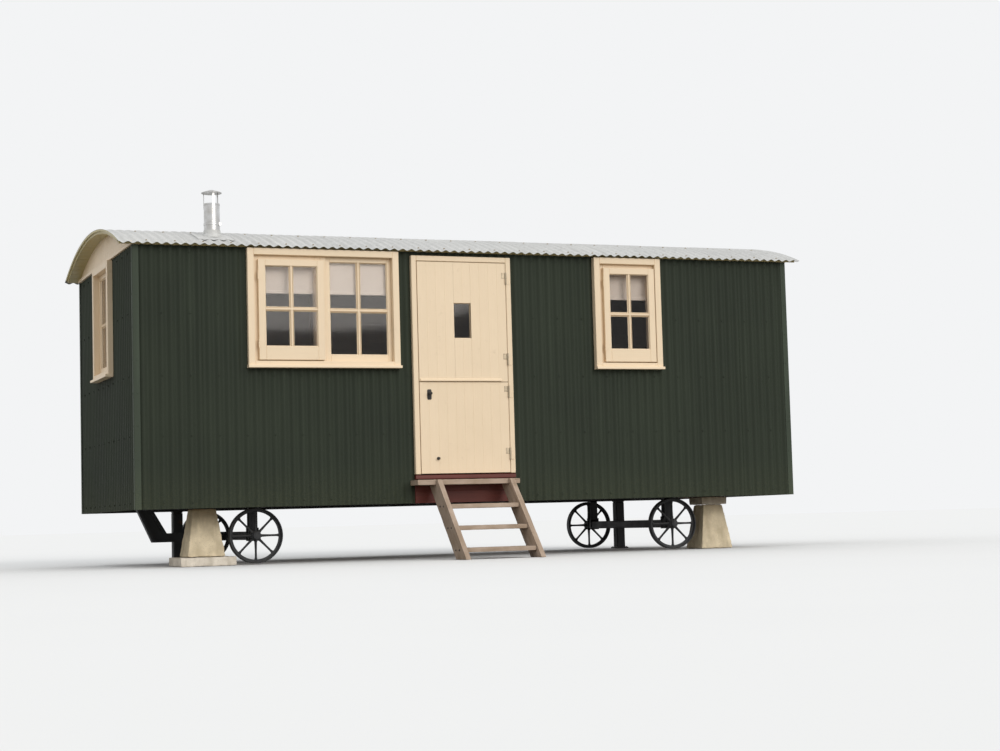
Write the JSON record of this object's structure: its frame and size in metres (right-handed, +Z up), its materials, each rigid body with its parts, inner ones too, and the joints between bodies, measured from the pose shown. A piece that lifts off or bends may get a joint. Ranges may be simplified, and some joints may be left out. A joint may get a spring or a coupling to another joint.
{
  "type": "shepherds hut",
  "caption": "Corrugated iron shepherds hut with a low arched roof, stable door, open steps, stub flue, spoked wheels and concrete piers.",
  "frame": {"origin": "on the ground under the middle of the hut's outline, steps included", "axes": "+X along the hut's length to the right seen from the door side, -Y out of the door side, +Z up"},
  "size_m": [6.16, 3.417, 3.064],
  "materials": {
    "green_iron": "satin dark green paint on corrugated iron",
    "corner_metal": "satin grey-green folded trim",
    "galvanised_iron": "weathered galvanised corrugated sheet",
    "stainless": "bright stainless steel",
    "cream_paint": "satin cream paint on wood",
    "pane": "clear window glass",
    "blind_cloth": "off-white roller blind cloth",
    "hardwood": "dark red-brown oiled wood",
    "weathered_wood": "bare weathered boards",
    "structural_timber": "sawn softwood",
    "chassis": "matt black painted steel",
    "cast_wheel": "matt black cast iron",
    "dark_iron": "black japanned iron",
    "hinge_steel": "dulled plated steel",
    "pier_concrete": "rough cast concrete",
    "slab_concrete": "pale paving concrete"
  },
  "bodies": {
    "hut": {"bearers": "chassis", "cross_members": "structural_timber", "axles": "chassis", "front_brace": "chassis", "piers": "pier_concrete", "pier_slabs": "slab_concrete", "back_posts": "chassis", "floor": "structural_timber", "front_wall_left": "green_iron", "front_wall_right": "green_iron", "front_wall_over_door": "green_iron", "front_wall_under_door": "hardwood", "back_wall": "green_iron", "left_end_wall": "green_iron", "right_end_wall": "green_iron", "corner_trims": "corner_metal", "gable_panels": "cream_paint", "roof_boards": "cream_paint", "roof_sheet": "galvanised_iron", "double_window_frame": "cream_paint", "casement": "cream_paint", "fixed_sash": "cream_paint", "small_window_frame": "cream_paint", "small_window_sash": "cream_paint", "end_window_frames": "cream_paint", "end_window_sashes": "cream_paint", "back_window_frame": "cream_paint", "back_window_sashes": "cream_paint", "window_glass": "pane", "window_blinds": "blind_cloth", "door_frame": "cream_paint", "threshold": "hardwood", "frame_hinges": "hinge_steel", "step_stringers": "weathered_wood", "step_treads": "weathered_wood", "flue_pipe": "stainless", "flue_cowl": "stainless"},
    "upper_leaf": {"upper_door": "cream_paint", "door_glass": "pane", "upper_door_hinges": "hinge_steel"},
    "lower_leaf": {"lower_door": "cream_paint", "door_handle": "dark_iron", "lower_door_hinges": "hinge_steel"},
    "front_left": {"front_left_wheel": "cast_wheel"},
    "front_right": {"front_right_wheel": "cast_wheel"},
    "back_left": {"back_left_wheel": "cast_wheel"},
    "back_right": {"back_right_wheel": "cast_wheel"}
  },
  "joints": [
    {"name": "upper_leaf_hinge", "type": "hinge", "parent": "hut", "child": "upper_leaf", "pos_m": [0.2125, -0.8945, 2.01], "axis": [0, 0, 1], "range_deg": [0, 170]},
    {"name": "lower_leaf_hinge", "type": "hinge", "parent": "hut", "child": "lower_leaf", "pos_m": [0.2125, -0.8945, 1.1275], "axis": [0, 0, 1], "range_deg": [0, 170]},
    {"name": "front_left_wheel_spin", "type": "hinge", "parent": "hut", "child": "front_left", "pos_m": [-1.91, -0.5115, 0.235], "axis": [0, 1, 0], "continuous": true},
    {"name": "front_right_wheel_spin", "type": "hinge", "parent": "hut", "child": "front_right", "pos_m": [1.91, -0.5115, 0.235], "axis": [0, 1, 0], "continuous": true},
    {"name": "back_left_wheel_spin", "type": "hinge", "parent": "hut", "child": "back_left", "pos_m": [-1.91, 1.2885, 0.235], "axis": [0, 1, 0], "continuous": true},
    {"name": "back_right_wheel_spin", "type": "hinge", "parent": "hut", "child": "back_right", "pos_m": [1.91, 1.2885, 0.235], "axis": [0, 1, 0], "continuous": true}
  ]
}
